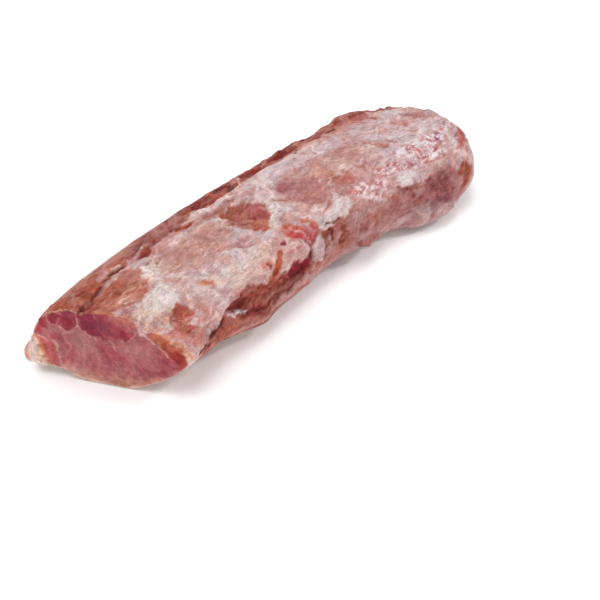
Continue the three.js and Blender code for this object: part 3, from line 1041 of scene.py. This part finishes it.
# --- Materials ---
class Graph:
    """A material's nodes, with short helpers for them."""

    def __init__(self, name, **uniform):
        self.material = bpy.data.materials.new(name)
        self.material.use_nodes = True
        self.tree = self.material.node_tree
        self.skin = self.tree.nodes["Principled BSDF"].inputs
        for socket, value in uniform.items():
            self.skin[socket.replace("_", " ")].default_value = value

    def put(self, socket, value):
        if isinstance(value, bpy.types.NodeSocket):
            self.tree.links.new(value, socket)
        else:
            socket.default_value = value

    def node(self, kind, *values, settings=None, **inputs):
        """A node whose first sockets get the values, in order, and named ones the inputs."""
        node = self.tree.nodes.new("ShaderNode" + kind)
        for key, value in (settings or {}).items():
            setattr(node, key, value)
        for socket, value in zip(node.inputs, values):
            self.put(socket, value)
        for key, value in inputs.items():
            self.put(node.inputs[key.replace("_", " ")], value)
        return node.outputs

    def attribute(self, name, output="Fac"):
        return self.node("Attribute", settings={"attribute_name": name})[output]

    def maths(self, operation, *values):
        return self.node("Math", *values, settings={"operation": operation})[0]

    def times(self, first, *others):
        for other in others:
            first = self.maths("MULTIPLY", first, other)
        return first

    def noise(self, place, scale, detail=3.0, rough=0.55):
        return self.node("TexNoise", Vector=place, Scale=scale, Detail=detail, Roughness=rough)["Fac"]

    def between(self, value, low, high, bottom=0.0, top=1.0):
        return self.node("MapRange", value, low, high, bottom, top,
                         settings={"interpolation_type": "SMOOTHSTEP"})["Result"]

    def stretched(self, place, scale):
        return self.node("Mapping", Vector=place, Scale=scale)["Vector"]

    def bent(self, vector, place, scale, reach):
        """The vector, shaken by a noise of its own."""
        shake = self.node("TexNoise", Vector=place, Scale=scale)["Color"]
        offset = self.node("VectorMath", shake, (0.5, 0.5, 0.5),
                           settings={"operation": "SUBTRACT"})[0]
        return self.node("VectorMath", offset, (reach, reach, reach), vector,
                         settings={"operation": "MULTIPLY_ADD"})[0]

    def thread(self, value, width):
        """1 where the value passes through a half, fading out over the width."""
        away = self.maths("ABSOLUTE", self.maths("SUBTRACT", value, 0.5))
        return self.between(away, width, 0.0)

    def grey(self, value):
        return self.node("CombineColor", value, value, value)["Color"]

    def mix(self, share, a, b, blend="MIX"):
        node = self.tree.nodes.new("ShaderNodeMix")
        node.data_type = "RGBA"
        node.blend_type = blend
        for socket, value in (("Factor", share), (6, a), (7, b)):
            self.put(node.inputs[socket], value)
        return node.outputs[2]

    def shade(self, share, colour, by):
        return self.mix(share, colour, by, "MULTIPLY")

    def bump(self, height, strength, distance):
        return self.node("Bump", Strength=strength, Distance=distance, Height=height)["Normal"]


def meat_patterns(g):
    """The patterns that the meat's colour, gloss and relief are mixed from."""
    p = SimpleNamespace()
    p.place = g.node("TexCoord")["Object"]
    p.wet = g.attribute("wet")
    p.fatness = g.attribute("fatness")
    p.outside = g.maths("SUBTRACT", 1.0, g.attribute("cut"))
    rows = g.bent(g.node("UVMap", settings={"uv_map": "rows"})["UV"], p.place, 30.0, 0.08)
    bent = g.bent(p.place, p.place, 45.0, 0.012)
    p.fibres = g.noise(g.stretched(rows, (6.0, 42.0, 1.0)), 1.0, 4.0)
    p.mottle = g.noise(bent, 240.0, 5.0, 0.65)
    p.grain = g.noise(p.place, 800.0, 2.0)
    # pale membranes and threads, dark cracks, and a sparkle of painted highlight where wet, on the outside
    # alone
    veins = g.thread(g.noise(bent, 34.0, 2.0), 0.014)
    threads = g.thread(g.noise(g.stretched(rows, (5.0, 34.0, 1.0)), 1.0, 3.0), 0.02)
    membrane = g.times(g.maths("ADD", g.times(p.fatness, 0.34), 0.06), p.outside)
    p.veil = g.times(g.maths("MAXIMUM", veins, threads), membrane)
    cracked = g.between(g.noise(p.place, 28.0, 2.0), 0.44, 0.60)
    p.cracks = g.times(g.thread(g.noise(bent, 70.0, 3.0), 0.014), cracked, p.outside)
    p.sparkle = g.times(g.between(g.noise(bent, 380.0, 3.0, 0.7), 0.56, 0.66), p.wet, p.outside)
    return p


def meat_colour(g, p):
    marks = g.mix(g.times(p.outside, 0.6), p.mottle, p.fibres)
    warmth = g.noise(p.place, 130.0, 3.0)
    orange = g.times(g.between(warmth, 0.54, 0.70), g.maths("SUBTRACT", 1.0, g.times(p.fatness, 0.6)))
    purple = g.times(g.between(warmth, 0.46, 0.32), 0.6)
    colour = g.attribute("tone", "Color")
    colour = g.shade(1.0, colour, g.grey(g.between(marks, 0.31, 0.69, 0.82, 1.14)))
    colour = g.shade(1.0, colour, g.grey(g.between(p.grain, 0.32, 0.68, 0.86, 1.12)))
    # painted highlight: pale lilac sparkle mixed into the colour where the meat is wet
    colour = g.mix(p.sparkle, colour, (0.78, 0.68, 0.76, 1.0))
    colour = g.shade(orange, colour, (0.98, 0.80, 0.70, 1.0))
    colour = g.shade(purple, colour, (0.94, 0.80, 0.90, 1.0))
    colour = g.mix(p.veil, colour, (0.76, 0.66, 0.62, 1.0))
    colour = g.shade(p.cracks, colour, (0.80, 0.60, 0.56, 1.0))
    return g.shade(g.between(p.mottle, 0.38, 0.28), colour, (0.72, 0.54, 0.52, 1.0))


def meat_rise(g, p):
    rise = g.maths("ADD", g.times(p.fibres, 0.6), p.mottle)
    rise = g.maths("ADD", rise, g.times(g.maths("SUBTRACT", p.veil, p.cracks), 0.5))
    return g.maths("ADD", rise, g.times(p.grain, 0.2))


def meat_material():
    g = Graph("raw_pork", Subsurface_Weight=0.08, Subsurface_Radius=(1.0, 0.35, 0.25),
              Subsurface_Scale=0.002, Specular_IOR_Level=0.15, Coat_Roughness=0.12)
    p = meat_patterns(g)
    rough = g.between(p.mottle, 0.3, 0.7, 0.42, 0.60)
    g.put(g.skin["Base Color"], meat_colour(g, p))
    g.put(g.skin["Roughness"], g.maths("SUBTRACT", rough, g.times(p.wet, 0.22)))
    g.put(g.skin["Normal"], g.bump(meat_rise(g, p), 0.6, 0.0007))
    g.put(g.skin["Coat Weight"], g.times(p.wet, 0.9))
    g.put(g.skin["Coat Normal"], g.bump(g.noise(p.place, 330.0, 3.0), 1.0, 0.0006))
    return g.material


def floor_material():
    g = Graph("paper_floor", Roughness=0.9, Specular_IOR_Level=0.1)
    cloud = g.noise(g.node("TexCoord")["Object"], 6.0, 2.0)
    g.put(g.skin["Base Color"], g.grey(g.between(cloud, 0.3, 0.7, 0.86, 0.88)))
    return g.material


# --- The studio's pieces ---
def add_floor():
    bpy.ops.mesh.primitive_plane_add(size=FLOOR_SIZE, location=(0, 0, -FLOOR_DROP))
    floor = bpy.context.object
    floor.name = "floor"
    floor.data.materials.append(floor_material())


def add_light(name, place, aim, size, power):
    data = bpy.data.lights.new(name, "AREA")
    data.shape = "RECTANGLE"
    data.size, data.size_y = size
    data.energy = power
    light = link(name, data)
    light.location = place
    light.rotation_euler = (Vector(place) - Vector(aim)).to_track_quat("Z", "Y").to_euler()


def add_sky():
    world = bpy.data.worlds.new("studio")
    world.use_nodes = True
    background = world.node_tree.nodes["Background"].inputs
    background["Color"].default_value = (1, 1, 1, 1)
    background["Strength"].default_value = SKY_STRENGTH
    bpy.context.scene.world = world


def add_camera():
    level = math.cos(CAMERA_ELEVATION)
    back = Vector((math.sin(CAMERA_AZIMUTH) * level, -math.cos(CAMERA_AZIMUTH) * level,
                   math.sin(CAMERA_ELEVATION)))
    camera = link("camera", bpy.data.cameras.new("camera"))
    camera.location = Vector(CAMERA_PLACE) * MM
    camera.rotation_euler = back.to_track_quat("Z", "Y").to_euler()
    camera.data.sensor_width = SENSOR_WIDTH
    camera.data.lens = LENS
    bpy.context.scene.camera = camera


loin = add_meat()
loin.data.materials.append(meat_material())
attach(loin, "root")
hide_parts(NODE)
add_floor()
add_sky()
for light in LIGHTS:
    add_light(*light)
add_camera()
bpy.context.scene.view_settings.view_transform = "Standard"
